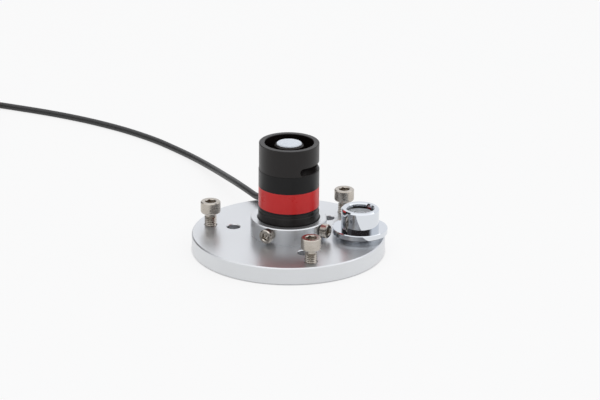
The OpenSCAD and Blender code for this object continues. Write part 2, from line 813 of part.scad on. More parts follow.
module level_housing() {
    flange_r = level_flange_d / 2;
    color([0.82, 0.84, 0.88]) at_turn(level_turn, level_reach) turned(concat(
        [[level_bore_r, plate_t], [flange_r, plate_t]],
        [[flange_r, level_flange_top_z - flange_edge]],
        arc(flange_r - flange_edge, level_flange_top_z - flange_edge, flange_edge, 0, 90),
        arc(level_cup_r + neck_round, level_flange_top_z + neck_round, neck_round, 270, 180),
        arc(level_cup_r - level_edge, level_top_z - level_edge, level_edge, 0, 90),
        [
            [level_window_r + level_lip_edge, level_top_z],
            [level_window_r, level_top_z - level_lip_edge],
            [level_window_r, glass_top_z],
            [level_bore_r, glass_top_z]
        ]
    ));
}

module level_window() {
    color([0.75, 0.78, 0.8, 0.5]) at_turn(level_turn, level_reach)
        ring(level_bore_r - running_fit, 0, glass_low_z, glass_t);
}

module level_seal() {
    color([0.2, 0.2, 0.2]) at_turn(level_turn, level_reach)
        ring(level_bore_r - running_fit, level_window_r, seal_low_z, level_seal_t);
}

// Half outline of the bubble, as a flat dome pressed up under the window
function bubble_outline(grown) =
    let (r = bubble_d / 2 + grown)
    let (high = r * bubble_share + grown)
    [for (i = [0 : bubble_steps]) let (a = -90 + 90 * i / bubble_steps)
        [r * cos(a), glass_low_z + high * sin(a)]];

module level_fluid() {
    fluid_r = level_bore_r - running_fit;
    color([0.75, 0.85, 0.7, 0.5]) at_turn(level_turn, level_reach) difference() {
        turned([
            [0, target_top_z],
            [fluid_r, target_top_z],
            [fluid_r, seal_low_z],
            [level_window_r - running_fit, seal_low_z],
            [level_window_r - running_fit, glass_low_z],
            [0, glass_low_z]
        ]);
        turned(concat(bubble_outline(bubble_gap), [[0, glass_low_z]]));
    }
}

module level_bubble() {
    color([0.95, 0.97, 1, 0.5]) at_turn(level_turn, level_reach, -bubble_gap / 2)
        turned(concat(bubble_outline(0), [[0, glass_low_z]]));
}

module level_target() {
    color([0.85, 0.86, 0.86]) at_turn(level_turn, level_reach)
        ring(level_bore_r - running_fit, 0, plug_top_z, target_t);
}

module level_plug() {
    color([0.7, 0.6, 0.35]) at_turn(level_turn, level_reach) difference() {
        ring(level_bore_r - running_fit, 0, plate_t, plug_t);
        ring(fix_screw_d / 2 + running_fit, 0, plate_t - cut, plug_t - fix_screw_end_gap / 2 + cut);
    }
}

module level_fixing_screw() {
    top_z = plug_top_z - fix_screw_end_gap;
    shank_low_z = fix_screw_sink + fix_screw_head_r - fix_screw_d / 2;
    color([0.66, 0.63, 0.6]) at_turn(level_turn, level_reach) difference() {
        union() {
            translate([0, 0, fix_screw_sink]) cylinder(
                r1 = fix_screw_head_r - seat_fit,
                r2 = fix_screw_d / 2 - fix_screw_pitch * thread_depth_share,
                h = fix_screw_head_r - fix_screw_d / 2 + fix_screw_pitch * thread_depth_share
            );
            translate([0, 0, shank_low_z]) mirror([0, 0, 1])
                turned(concat(
                    shank_outline(fix_screw_d, fix_screw_pitch, top_z - shank_low_z),
                    [[fix_screw_d / 2 - fix_screw_pitch * thread_depth_share, 0], [0, 0]]
                ));
        }
        translate([0, 0, fix_screw_sink - cut])
            cylinder(r = fix_key / 2 / cos(180 / hex_sides), h = fix_key / 2 + cut, $fn = hex_sides);
    }
}

// A tube along the points p, closed at both ends, whose rings turn to keep level, or towards a side
module tube(p, r, sides, towards = [0, 0, 0]) {
    last = len(p) - 1;
    rings = [
        for (i = [0 : last])
            let (t = unit(p[min(i + 1, last)] - p[max(i - 1, 0)]))
            let (flat = unit(norm(towards) > 0 ? towards - t * (towards * t) : [-t.y, t.x, 0]))
            let (up = cross(t, flat))
            [for (k = [0 : sides - 1]) let (a = 360 * k / sides)
                p[i] + r * (flat * cos(a) + up * sin(a))]
    ];
    polyhedron(
        points = [for (one = rings) each one],
        faces = concat(
            [[for (k = [0 : sides - 1]) sides - 1 - k]],
            [for (i = [0 : last - 1]) for (k = [0 : sides - 1])
                let (a = i * sides + k, b = i * sides + (k + 1) % sides)
                each [[a, b, b + sides], [a, b + sides, a + sides]]],
            [[for (k = [0 : sides - 1]) last * sides + k]]
        )
    );
}

module cable_lead() {
    color([0.2, 0.2, 0.2]) tube(lead_line, cable_r, lead_sides);
}

module cable_coil() {
    color([0.2, 0.2, 0.2]) tube(coil_line, cable_r, coil_sides);
}

module cable_tail() {
    color([0.2, 0.2, 0.2]) tube(smooth_line(tail_route, ring_step), cable_r, lead_sides);
}

// A strap round the coil's bundle, on the side away from its ends
module coil_tie() {
    high = (coil_layers - 1) * turn_pitch + cable_d;
    low_r = coil_inner_r - cable_r - tie_gap;
    high_r = coil_outer_r + cable_r + tie_gap;
    color([0.05, 0.05, 0.05]) translate([coil_centre.x, coil_centre.y, 0])
        rotate([0, 0, coil_start_turn + tie_turn]) translate([0, tie_w / 2, 0]) rotate([90, 0, 0])
            linear_extrude(tie_w) difference() {
                translate([low_r - tie_t, 0])
                    square([high_r - low_r + 2 * tie_t, high + tie_gap + tie_t]);
                translate([low_r, -cut]) square([high_r - low_r, high + tie_gap + cut]);
            }
}

// Places the plug's pieces, whose +Z is the way that it mates
module on_plug() {
    translate([plug_origin.x, plug_origin.y, plug_z]) rotate([0, 0, plug_turn])
        rotate([0, 90, 0]) children();
}

module plug_boot() {
    inner_r = crimp_r + running_fit;
    color([0.08, 0.08, 0.08]) on_plug() turned([
        [gland_bore_r, 0],
        [boot_rear_r, 0],
        [boot_rear_r + seam_edge, seam_edge],
        [boot_front_r, crimp_start + boot_taper_gap],
        [boot_front_r, boot_length - seat_fit],
        [inner_r, boot_length - seat_fit],
        [inner_r, crimp_start - seat_fit],
        [gland_bore_r, crimp_start - seat_fit]
    ]);
}

module plug_crimp_sleeve() {
    color([0.75, 0.75, 0.75]) on_plug()
        ring(crimp_r, gland_bore_r, crimp_start, body_z - crimp_start);
}

module plug_body() {
    slot_z = plug_face_z - contact_slot_length;
    color([0.75, 0.75, 0.73]) on_plug() difference() {
        turned([
            [0, body_z],
            [rear_body_r, body_z],
            [rear_body_r, collar_rear_z - shoulder_plug_t],
            [shoulder_plug_r, collar_rear_z - shoulder_plug_t],
            [shoulder_plug_r, collar_rear_z - collar_fit_gap],
            [contact_r, collar_rear_z - collar_fit_gap],
            [contact_r, collar_rear_z + contact_length],
            [contact_r - contact_wall, collar_rear_z + contact_length],
            [contact_r - contact_wall, collar_rear_z],
            [0, collar_rear_z]
        ]);
        for (side = [-1, 1]) translate([side * (flats_w + plug_collar_d) / 2, 0, body_z])
            cube([plug_collar_d, plug_collar_d, rear_body_length], center = true);
        for (k = [0 : contact_slots - 1]) rotate([0, 0, 360 * k / contact_slots])
            translate([contact_r - 2 * contact_wall, -contact_slot_w / 2, slot_z])
                cube([3 * contact_wall, contact_slot_w, contact_slot_length + cut]);
    }
}

// The bayonet collar: a gripped ring that turns on the body, with two slanting tracks
module plug_collar() {
    collar_r0 = plug_collar_d / 2;
    ridge_r = PI * collar_r0 / grip_ridges / 2;
    track_z = plug_face_z - track_w * track_rise_share;
    color([0.8, 0.8, 0.8]) on_plug() difference() {
        turned([
            [contact_r + running_fit, collar_rear_z],
            [collar_r0 - grip_depth, collar_rear_z],
            [collar_r0, collar_rear_z + grip_depth],
            [collar_r0, collar_rear_z + grip_length - grip_depth],
            [collar_r0 - grip_depth, collar_rear_z + grip_length],
            [collar_front_r, collar_rear_z + grip_length],
            [collar_front_r, plug_face_z],
            [collar_bore, plug_face_z],
            [collar_bore, collar_rear_z + collar_rear_wall],
            [contact_r + running_fit, collar_rear_z + collar_rear_wall]
        ]);
        for (k = [0 : grip_ridges - 1]) rotate([0, 0, 360 * k / grip_ridges])
            translate([collar_r0 + ridge_r / 2, 0, collar_rear_z - cut])
                cylinder(r = ridge_r, h = grip_length + 2 * cut, $fn = 16);
        for (side = [0, 180]) rotate([0, 0, side]) {
            for (k = [0 : track_steps - 1])
                rotate([0, 0, track_turn * k / track_steps])
                    translate([0, 0, track_z - track_w * track_slant_share * k / track_steps])
                        rotate([0, 90, 0]) cylinder(d = track_w, h = collar_r0, $fn = 32);
            rotate([0, 90, 0]) translate([-plug_face_z, 0, 0])
                translate([-cut, -track_w / 2, 0])
                    cube([track_w * track_rise_share + cut, track_w, collar_r0]);
        }
    }
}

module plug_insulator() {
    color([0.95, 0.95, 0.92]) on_plug()
        ring(insulator_r, plug_pin_d / 2 + seat_fit, collar_rear_z, insulator_length);
}

module plug_pin() {
    color([0.85, 0.7, 0.3]) on_plug() turned([
        [0, collar_rear_z],
        [plug_pin_d / 2, collar_rear_z],
        [plug_pin_d / 2, collar_rear_z + insulator_length + pin_stick_out - plug_pin_d],
        [plug_pin_d / 6, collar_rear_z + insulator_length + pin_stick_out],
        [0, collar_rear_z + insulator_length + pin_stick_out]
    ]);
}

module plug_gasket() {
    color([0.7, 0.2, 0.15]) on_plug() ring(
        contact_r - contact_wall - running_fit, insulator_r + running_fit, collar_rear_z, gasket_ring_t
    );
}

base_plate();
levelling_screw(left_turn);  // levelling_screw_left
levelling_screw(front_turn);  // levelling_screw_front
levelling_screw(rear_turn);  // levelling_screw_rear
clamp_screw(clamp_left_turn);  // clamp_screw_left
clamp_screw(clamp_right_turn);  // clamp_screw_right
sensor_base();
sensor_housing();
head_seal();
base_screws();
diffuser();
diffuser_gasket();
photodiode_header();
photodiode_cap();
photodiode_window();
photodiode_chip();
circuit_board();
board_retainer();
contact_socket();
contact_pins();
pin_insulator();
core_wires();
cable_gland();
label_band();
label_red_band();
level_housing();
level_window();
level_seal();
level_fluid();
level_bubble();
level_target();
level_plug();
level_fixing_screw();
cable_lead();
cable_coil();
cable_tail();
coil_tie();
plug_boot();
plug_crimp_sleeve();
plug_body();
plug_collar();
plug_insulator();
plug_pin();
plug_gasket();
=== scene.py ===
"""Finishes, cable and studio for a small black light sensor clamped in a round levelling plate.

Lengths are in metres, +Z is up, -Y is the front, and the plate's underside is at z = 0.
"""
import json
import math

import bmesh
import bpy
from mathutils import Matrix, Vector


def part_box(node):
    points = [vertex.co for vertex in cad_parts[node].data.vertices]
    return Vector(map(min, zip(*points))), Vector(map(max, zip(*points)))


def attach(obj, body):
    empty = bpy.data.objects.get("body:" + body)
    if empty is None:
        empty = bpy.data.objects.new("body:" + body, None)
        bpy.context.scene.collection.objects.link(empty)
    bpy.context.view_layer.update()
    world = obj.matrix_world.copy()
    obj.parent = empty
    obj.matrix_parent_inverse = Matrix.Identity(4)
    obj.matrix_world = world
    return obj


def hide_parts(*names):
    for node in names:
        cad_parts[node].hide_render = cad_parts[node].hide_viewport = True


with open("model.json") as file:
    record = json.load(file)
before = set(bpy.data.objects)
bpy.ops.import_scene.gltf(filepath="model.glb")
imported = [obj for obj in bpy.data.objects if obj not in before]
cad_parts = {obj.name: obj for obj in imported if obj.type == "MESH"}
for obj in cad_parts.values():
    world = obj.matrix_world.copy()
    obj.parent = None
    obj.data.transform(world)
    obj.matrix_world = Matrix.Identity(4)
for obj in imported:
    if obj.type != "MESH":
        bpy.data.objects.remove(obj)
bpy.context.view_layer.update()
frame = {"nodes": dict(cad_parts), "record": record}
BODY = "fixture"


# Camera

CAMERA_PLACE = (0.004424, -1.02891, 0.40937)
CAMERA_ELEVATION = math.radians(20.7)
CAMERA_ROLL = math.radians(0.579)
CAMERA_LENS = 168.07


def photograph_camera():
    """A long lens from the front, 21 degrees above the plate, turned by less than a degree."""
    camera = bpy.data.objects.new("camera", bpy.data.cameras.new("camera"))
    bpy.context.scene.collection.objects.link(camera)
    camera.data.sensor_fit = "HORIZONTAL"
    camera.data.sensor_width = 36
    camera.data.lens = CAMERA_LENS
    camera.data.clip_start = 0.01
    ahead = Vector((0, math.cos(CAMERA_ELEVATION), -math.sin(CAMERA_ELEVATION)))
    level_up = Vector((0, math.sin(CAMERA_ELEVATION), math.cos(CAMERA_ELEVATION)))
    right = Vector((math.cos(CAMERA_ROLL), 0, 0)) + math.sin(CAMERA_ROLL) * level_up
    up = Vector((-math.sin(CAMERA_ROLL), 0, 0)) + math.cos(CAMERA_ROLL) * level_up
    turn = Matrix((right, up, -ahead)).transposed().to_4x4()
    camera.matrix_world = Matrix.Translation(CAMERA_PLACE) @ turn
    bpy.context.scene.camera = camera


# Cable

CABLE_D = 0.0028
CABLE_LENGTH = 2.0
CABLE_STEP = 0.0018
CABLE_ROUTE = [
    (-0.001, 0.004, 0.01575), (-0.0025, 0.01, 0.01575), (-0.00375, 0.015, 0.01575),
    (-0.00475, 0.019, 0.0156), (-0.0064, 0.0236, 0.0143), (-0.0086, 0.028, 0.01195),
    (-0.0109, 0.032, 0.00975), (-0.0132, 0.0356, 0.00862), (-0.0161, 0.0413, 0.00842),
    (-0.0196, 0.0489, 0.00795), (-0.0227, 0.0566, 0.0071), (-0.0258, 0.0647, 0.00595),
    (-0.0289, 0.0731, 0.0047), (-0.0322, 0.0814, 0.00355), (-0.0359, 0.0895, 0.00265),
    (-0.0401, 0.0974, 0.002), (-0.0449, 0.105, 0.0016), (-0.0508, 0.113, 0.0014),
    (-0.0574, 0.1209, 0.0014), (-0.065, 0.1285, 0.0014), (-0.0733, 0.1358, 0.0014),
    (-0.0821, 0.1424, 0.0014), (-0.0912, 0.1484, 0.0014), (-0.1008, 0.1539, 0.0014),
    (-0.1105, 0.1588, 0.0014), (-0.1203, 0.1632, 0.0014), (-0.1301, 0.1674, 0.0014),
    (-0.1395, 0.1712, 0.0014), (-0.1455, 0.1736, 0.0014), (-0.1515, 0.176, 0.0014),
]
ROUTE_STEP = 2.5 * CABLE_D
TURN_PITCH = 0.00325
COIL_LAYERS = 4
COIL_TURNS = 16.25
LAYER_CLIMB = 0.5
SOLID_TURN_STEPS = 24
SMOOTH_TURN_STEPS = 72
PLUG_Z = 0.00725
TAIL_DROP_SHARES = [0, 0.03, 0.15, 0.4, 0.7, 0.92, 1, 1, 1]
TAIL_ACROSS = [0, 0.0021, 0.004, 0.005, 0.0054, 0.0055, 0.0055, 0.0055, 0.0055]
TAIL_ALONG = [0, 0.0045, 0.0095, 0.015, 0.0205, 0.026, 0.0315, 0.037, 0.057]


def tail_steps():
    """The cable's last stretch as steps from the coil's end down to the plug."""
    drop = CABLE_D / 2 + (COIL_LAYERS - 1) * TURN_PITCH - PLUG_Z
    steps = zip(TAIL_ACROSS, TAIL_ALONG, TAIL_DROP_SHARES)
    return [Vector((-across, -along, -drop * share)) for across, along, share in steps]


def smooth_line(points, step):
    """Points about step apart on the smooth line through the given ones."""
    points = [Vector(p) for p in points]
    line = []
    for i in range(len(points) - 1):
        a, b = points[max(i - 1, 0)], points[i]
        c, d = points[i + 1], points[min(i + 2, len(points) - 1)]
        parts = max(1, round((c - b).length / step))
        for t in (k / parts for k in range(parts)):
            bend = (2 * a - 5 * b + 4 * c - d) * t * t + (3 * b - a - 3 * c + d) * t ** 3
            line.append(0.5 * (2 * b + (c - a) * t + bend))
    return line + [points[-1]]


def line_length(points):
    return sum((b - a).length for a, b in zip(points, points[1:]))


def ease(t):
    """A smooth rise from 0 to 1."""
    t = min(max(t, 0), 1)
    return t * t * (3 - 2 * t)


def route_heading():
    """The way the cable runs where it meets the coil."""
    return (Vector(CABLE_ROUTE[-1]) - Vector(CABLE_ROUTE[-2])).normalized()


def coil_line(steps_per_turn):
    """The coil's turns, which spiral in and out layer by layer, its centre, radius and spread."""
    heading = route_heading()
    left = Vector((-heading.y, heading.x, 0))
    straight = line_length(smooth_line(CABLE_ROUTE, ROUTE_STEP))
    straight += line_length(smooth_line(tail_steps(), ROUTE_STEP)) + 2 * CABLE_D
    middle_r = (CABLE_LENGTH - straight) / (2 * math.pi * COIL_TURNS)
    layer_turns = COIL_TURNS / COIL_LAYERS
    spread = TURN_PITCH * layer_turns
    outer_r = middle_r + spread / 2
    centre = Vector(CABLE_ROUTE[-1]) + heading * CABLE_D + left * outer_r
    start = math.atan2(-left.y, -left.x)
    steps = round(COIL_TURNS * steps_per_turn)
    line = []
    for t in (COIL_TURNS * i / steps for i in range(steps + 1)):
        fold = (t / layer_turns) % 2
        r = outer_r - spread * (2 - fold if fold > 1 else fold)
        climbs = [(t - k * layer_turns) / LAYER_CLIMB + 0.5 for k in range(1, COIL_LAYERS)]
        climb = sum(ease(part) for part in climbs)
        angle = start + 2 * math.pi * t
        rise = Vector((r * math.cos(angle), r * math.sin(angle), TURN_PITCH * climb))
        line.append(centre + rise)
    return line, centre, outer_r, spread


def whole_cable_line():
    """The cable from inside the sensor's base to the back of its plug."""
    lead = smooth_line(CABLE_ROUTE, CABLE_STEP)
    solid_coil = coil_line(SOLID_TURN_STEPS)[0]
    coil = coil_line(SMOOTH_TURN_STEPS)[0]
    out = (solid_coil[-1] - solid_coil[-2]).normalized()
    tail_start = coil[-1] + out * CABLE_D
    tail = smooth_line([tail_start + step for step in tail_steps()], CABLE_STEP)
    return lead + coil + tail


def cable(jacket):
    """The whole cable as one cord, in place of its three solids."""
    line = whole_cable_line()
    curve = bpy.data.curves.new("cable", "CURVE")
    curve.dimensions = "3D"
    curve.bevel_depth = CABLE_D / 2
    curve.bevel_resolution = 3
    curve.use_fill_caps = True
    spline = curve.splines.new("POLY")
    spline.points.add(len(line) - 1)
    for point, place in zip(spline.points, line):
        point.co = (*place, 1)
    spline.use_smooth = True
    piece = bpy.data.objects.new("cable", curve)
    bpy.context.scene.collection.objects.link(piece)
    curve.materials.append(jacket)
    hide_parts("cable_lead", "cable_coil", "cable_tail")
    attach(piece, BODY)


# Pieces made for the scene

SHARP_ANGLE = math.radians(38)
SAME_POINT = 0.000001


def piece_of(shape, name, material, slot, *replaced):
    """Makes a riding piece of a finished bmesh, smooth but for its sharp edges."""
    mesh = bpy.data.meshes.new(name)
    shape.to_mesh(mesh)
    shape.free()
    mesh.shade_smooth()
    mesh.set_sharp_from_angle(angle=SHARP_ANGLE)
    mesh.materials.append(material)
    piece = bpy.data.objects.new(name, mesh)
    bpy.context.scene.collection.objects.link(piece)
    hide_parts(*replaced)
    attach(piece, BODY)
    return piece


def lathe(outline, steps):
    """A solid of revolution about Z from the (radius, height) points of its outline."""
    shape = bmesh.new()
    points = [shape.verts.new((r, 0, z)) for r, z in outline]
    from_axis_to_axis = outline[0][0] == 0 and outline[-1][0] == 0
    loop = points if from_axis_to_axis else points + points[:1]
    edges = [shape.edges.new(pair) for pair in zip(loop, loop[1:])]
    bmesh.ops.spin(
        shape, geom=points + edges, cent=(0, 0, 0), axis=(0, 0, 1), angle=2 * math.pi,
        steps=steps, use_merge=True,
    )
    bmesh.ops.remove_doubles(shape, verts=shape.verts, dist=SAME_POINT)
    bmesh.ops.recalc_face_normals(shape, faces=shape.faces)
    return shape


def centre_on(shape, low, high):
    """Moves a lathed shape's axis to the middle of a node's box."""
    middle = ((low[0] + high[0]) / 2, (low[1] + high[1]) / 2, 0)
    bmesh.ops.translate(shape, vec=middle, verts=shape.verts)


# Spirit level

LEVEL_FOOT_H = 0.0014
LEVEL_FOOT_R = 0.008
LEVEL_FLANGE_T = 0.0023
LEVEL_FLANGE_R = 0.0109
LEVEL_FLANGE_EDGE = 0.00025
LEVEL_CUP_R = 0.0075
LEVEL_CUP_EDGE = 0.0005
LEVEL_CUP_STEPS = 128
LEVEL_BORE_R = 0.0062
LEVEL_WINDOW_R = 0.0052
LEVEL_LIP = 0.0005
LEVEL_STEPS = 72
SEAL_GAP = 0.0001
DISH_WALL = 0.0005
DISH_DEPTH = 0.0011
DISH_OVERLAP = 0.00005
DISH_CORNER = [(0.0002, 0.0003), (0.0005, 0)]
WINDOW_EDGE = 0.0001


def level_cup(material):
    """The chromed cup, whose flange stands off the plate on a narrower foot."""
    low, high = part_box("level_housing")
    glass_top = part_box("level_window")[1][2]
    flange_low = low[2] + LEVEL_FOOT_H
    flange_top = flange_low + LEVEL_FLANGE_T
    edge = LEVEL_FLANGE_EDGE
    shape = lathe([
        (LEVEL_BORE_R, low[2]), (LEVEL_FOOT_R, low[2]), (LEVEL_FOOT_R, flange_low),
        (LEVEL_FLANGE_R - edge, flange_low), (LEVEL_FLANGE_R, flange_low + edge),
        (LEVEL_FLANGE_R, flange_top - edge), (LEVEL_FLANGE_R - edge, flange_top),
        (LEVEL_CUP_R, flange_top), (LEVEL_CUP_R, high[2] - LEVEL_CUP_EDGE),
        (LEVEL_CUP_R - LEVEL_CUP_EDGE, high[2]), (LEVEL_WINDOW_R + LEVEL_LIP, high[2]),
        (LEVEL_WINDOW_R, high[2] - LEVEL_LIP), (LEVEL_WINDOW_R, glass_top),
        (LEVEL_BORE_R, glass_top),
    ], LEVEL_CUP_STEPS)
    centre_on(shape, low, high)
    piece_of(shape, "level_cup", material, "level_chrome", "level_housing")


def dish_top():
    """The height of the dish's wall, just below the window's seal."""
    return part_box("level_seal")[0][2] - SEAL_GAP


def level_dish(material):
    """The pale dish under the level's liquid, with the ring on its floor and a low wall round it."""
    low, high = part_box("level_target")
    top_z = dish_top()
    dish_z = top_z - DISH_DEPTH
    r = (high[0] - low[0]) / 2
    inner_r = r - DISH_WALL
    corner = [(inner_r - inwards, dish_z + upwards) for inwards, upwards in DISH_CORNER]
    wall = [(r, low[2]), (r, top_z), (inner_r, top_z)]
    shape = lathe([(0, low[2]), *wall, *corner, (0, dish_z)], LEVEL_STEPS)
    centre_on(shape, low, high)
    piece_of(shape, "level_dish", material, "level_backing", "level_target")


def level_lens(material):
    """The window and the clear liquid that fills the dish right up to it, as one clear body."""
    low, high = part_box("level_window")
    dish_low, dish_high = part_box("level_target")
    inner_r = (dish_high[0] - dish_low[0]) / 2 - DISH_WALL + DISH_OVERLAP
    liquid_low = dish_top() - DISH_DEPTH - DISH_OVERLAP
    outer_r = (high[0] - low[0]) / 2
    shape = lathe([
        (0, liquid_low), (inner_r, liquid_low), (inner_r, low[2]), (outer_r, low[2]),
        (outer_r, high[2] - WINDOW_EDGE), (outer_r - WINDOW_EDGE, high[2]), (0, high[2]),
    ], LEVEL_STEPS)
    centre_on(shape, low, high)
    piece_of(shape, "level_lens", material, "level_glass", "level_window", "level_fluid")


# Plug and coil

BOOT_BORE_GAP = 0.00006
BOOT_REAR_R = 0.0022
BOOT_REAR_EDGE = 0.0002
BOOT_FRONT_EDGE = 0.0003
BOOT_TAPER = 0.007
BOOT_RINGS = 4
BOOT_RING_START = 0.0012
BOOT_RING_PITCH = 0.0014
BOOT_RING_DEPTH = 0.00035
BOOT_RING_CUT = [(0, 0), (0.25, 1), (0.55, 1), (0.8, 0)]
BOOT_CRIMP_START = 0.005
BOOT_CRIMP_R = 0.00295
BOOT_STEPS = 64
STRAP_W = 0.004
STRAP_T = 0.0008
STRAP_GAP = 0.0002
STRAP_CORNER = 0.0018
STRAP_TURN = math.radians(225)
BUCKLE_L = 0.0045
BUCKLE_T = 0.0016
BUCKLE_RISE = 0.0002
BUCKLE_EDGE = 0.0003


def plug_boot(material):
    """A tapered sleeve with grip rings cut round its slim end."""
    low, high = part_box("plug_boot")
    front, rear = low[1], high[1]
    x, z = (low[0] + high[0]) / 2, (low[2] + high[2]) / 2
    front_r = (high[0] - low[0]) / 2
    bore = CABLE_D / 2 + BOOT_BORE_GAP
    length = rear - front
    outline = [(bore, 0), (BOOT_REAR_R - BOOT_REAR_EDGE, 0), (BOOT_REAR_R, BOOT_REAR_EDGE)]
    for k in range(BOOT_RINGS):
        start = BOOT_RING_START + k * BOOT_RING_PITCH
        for step, cut in BOOT_RING_CUT:
            along = start + step * BOOT_RING_PITCH
            r = BOOT_REAR_R + (front_r - BOOT_REAR_R) * min(along / BOOT_TAPER, 1)
            outline.append((r - cut * BOOT_RING_DEPTH, along))
    outline += [
        (front_r, BOOT_TAPER), (front_r, length - BOOT_FRONT_EDGE),
        (front_r - BOOT_FRONT_EDGE, length), (BOOT_CRIMP_R, length),
        (BOOT_CRIMP_R, BOOT_CRIMP_START), (bore, BOOT_CRIMP_START),
    ]
    shape = lathe(outline, BOOT_STEPS)
    turn = Matrix.Translation((x, rear, z)) @ Matrix.Rotation(math.radians(90), 4, "X")
    bmesh.ops.transform(shape, matrix=turn, verts=shape.verts)
    return piece_of(shape, "boot", material, "seal_rubber", "plug_boot")


def coil_strap(material):
    """A moulded strap closed round the coil's bundle, with its buckle on top."""
    centre, outer_r, spread = coil_line(SOLID_TURN_STEPS)[1:]
    inner = outer_r - spread - CABLE_D / 2 - STRAP_GAP
    outer = outer_r + CABLE_D / 2 + STRAP_GAP
    height = (COIL_LAYERS - 1) * TURN_PITCH + CABLE_D
    shape = bmesh.new()
    bmesh.ops.create_cube(shape, size=1)
    bmesh.ops.scale(
        shape, vec=(outer - inner + 2 * STRAP_T, STRAP_W, height + STRAP_GAP), verts=shape.verts,
    )
    ends = [face for face in shape.faces if abs(face.normal.y) > 0.9]
    bmesh.ops.delete(shape, geom=ends, context="FACES_ONLY")
    corners = [edge for edge in shape.edges if abs(edge.verts[0].co.y - edge.verts[1].co.y) > 0.001]
    bmesh.ops.bevel(
        shape, geom=corners, offset=STRAP_CORNER, segments=6, profile=0.5, material=-1,
        affect="EDGES",
    )
    bmesh.ops.recalc_face_normals(shape, faces=shape.faces)
    bmesh.ops.solidify(shape, geom=shape.faces[:], thickness=STRAP_T)
    bmesh.ops.recalc_face_normals(shape, faces=shape.faces)
    buckle = bmesh.ops.create_cube(shape, size=1)["verts"]
    bmesh.ops.scale(shape, vec=(BUCKLE_L, STRAP_W, BUCKLE_T), verts=buckle)
    buckle_z = height / 2 + STRAP_GAP / 2 + BUCKLE_RISE
    bmesh.ops.translate(shape, vec=(0, 0, buckle_z), verts=buckle)
    edges = list({edge for vert in buckle for edge in vert.link_edges})
    bmesh.ops.bevel(
        shape, geom=edges, offset=BUCKLE_EDGE, segments=2, profile=0.5, material=-1,
        affect="EDGES",
    )
    heading = route_heading()
    turn = math.atan2(-heading.x, heading.y) + STRAP_TURN
    middle = Matrix.Translation(((inner + outer) / 2, 0, height / 2 + STRAP_GAP / 2))
    place = Matrix.Translation((centre.x, centre.y, 0)) @ Matrix.Rotation(turn, 4, "Z") @ middle
    bmesh.ops.transform(shape, matrix=place, verts=shape.verts)
    return piece_of(shape, "strap", material, "black_moulding", "coil_tie")


# Materials

NOISE_LOW = 0.3
NOISE_HIGH = 0.7
COLOUR_DETAIL = 4.0
GRAIN_DETAIL = 3.0
EVEN = (1, 1, 1)
MOULDED_GRAIN = 0.00003
LEVEL_CENTRE = (0.02807, -0.0027)
ENAMEL = (0.84, 0.88, 0.92)
RING_BLACK = (0.012, 0.012, 0.012)
RING_INNER_R = 0.0026
RING_OUTER_R = 0.00299
RING_FIELD_R = 0.0052


def finish(name, colour, **inputs):
    """A new material with its shader's plain values, given by socket name."""
    material = bpy.data.materials.new(name)
    material.use_nodes = True
    shader = material.node_tree.nodes["Principled BSDF"]
    shader.inputs["Base Color"].default_value = (*colour, 1)
    for socket, value in inputs.items():
        shader.inputs[socket.replace("_", " ")].default_value = value
    material.diffuse_color = (*colour, 1)
    return material


def node(material, kind, **values):
    """A node with its settings, and its sockets where a setting has that name."""
    made = material.node_tree.nodes.new(kind)
    for name, value in values.items():
        if hasattr(made, name):
            setattr(made, name, value)
        else:
            made.inputs[name.replace("_", " ")].default_value = value
    return made


def join(material, output, target):
    material.node_tree.links.new(output, target)


def shader_of(material):
    return material.node_tree.nodes["Principled BSDF"]


def object_noise(material, scale, detail, stretch):
    """Noise on the piece's own coordinates."""
    place = node(material, "ShaderNodeTexCoord")
    mapping = node(material, "ShaderNodeMapping")
    mapping.inputs["Scale"].default_value = stretch
    noise = node(material, "ShaderNodeTexNoise", Scale=scale, Detail=detail)
    join(material, place.outputs["Object"], mapping.inputs["Vector"])
    join(material, mapping.outputs["Vector"], noise.inputs["Vector"])
    return noise.outputs["Fac"]


def vary_roughness(material, scale, low, high, stretch=EVEN):
    """Lets the roughness wander between two values."""
    noise = object_noise(material, scale, COLOUR_DETAIL, stretch)
    span = node(
        material, "ShaderNodeMapRange", From_Min=NOISE_LOW, From_Max=NOISE_HIGH,
        To_Min=low, To_Max=high,
    )
    join(material, noise, span.inputs["Value"])
    join(material, span.outputs["Result"], shader_of(material).inputs["Roughness"])


def vary_colour(material, scale, dark, light, stretch=EVEN):
    """Lets the colour wander between two tones."""
    noise = object_noise(material, scale, COLOUR_DETAIL, stretch)
    ramp = node(material, "ShaderNodeValToRGB")
    ramp.color_ramp.elements[0].position = NOISE_LOW
    ramp.color_ramp.elements[0].color = (*dark, 1)
    ramp.color_ramp.elements[1].position = NOISE_HIGH
    ramp.color_ramp.elements[1].color = (*light, 1)
    join(material, noise, ramp.inputs["Fac"])
    join(material, ramp.outputs["Color"], shader_of(material).inputs["Base Color"])


def grain(material, scale, strength, depth, stretch=EVEN):
    """Fine relief: depth is the height of the bumps in metres."""
    bump = node(material, "ShaderNodeBump", Strength=strength, Distance=depth)
    noise = object_noise(material, scale, GRAIN_DETAIL, stretch)
    join(material, noise, bump.inputs["Height"])
    join(material, bump.outputs["Normal"], shader_of(material).inputs["Normal"])


def anodised_plate():
    """Clear anodised aluminium: smooth and satin, with a faint cloudiness."""
    made = finish("anodised_plate", (0.73, 0.745, 0.76), Metallic=0.88, Roughness=0.3)
    vary_colour(made, 45, (0.725, 0.74, 0.755), (0.74, 0.755, 0.775))
    vary_roughness(made, 130, 0.28, 0.32)
    grain(made, 900, 0.03, 0.000005)
    return made


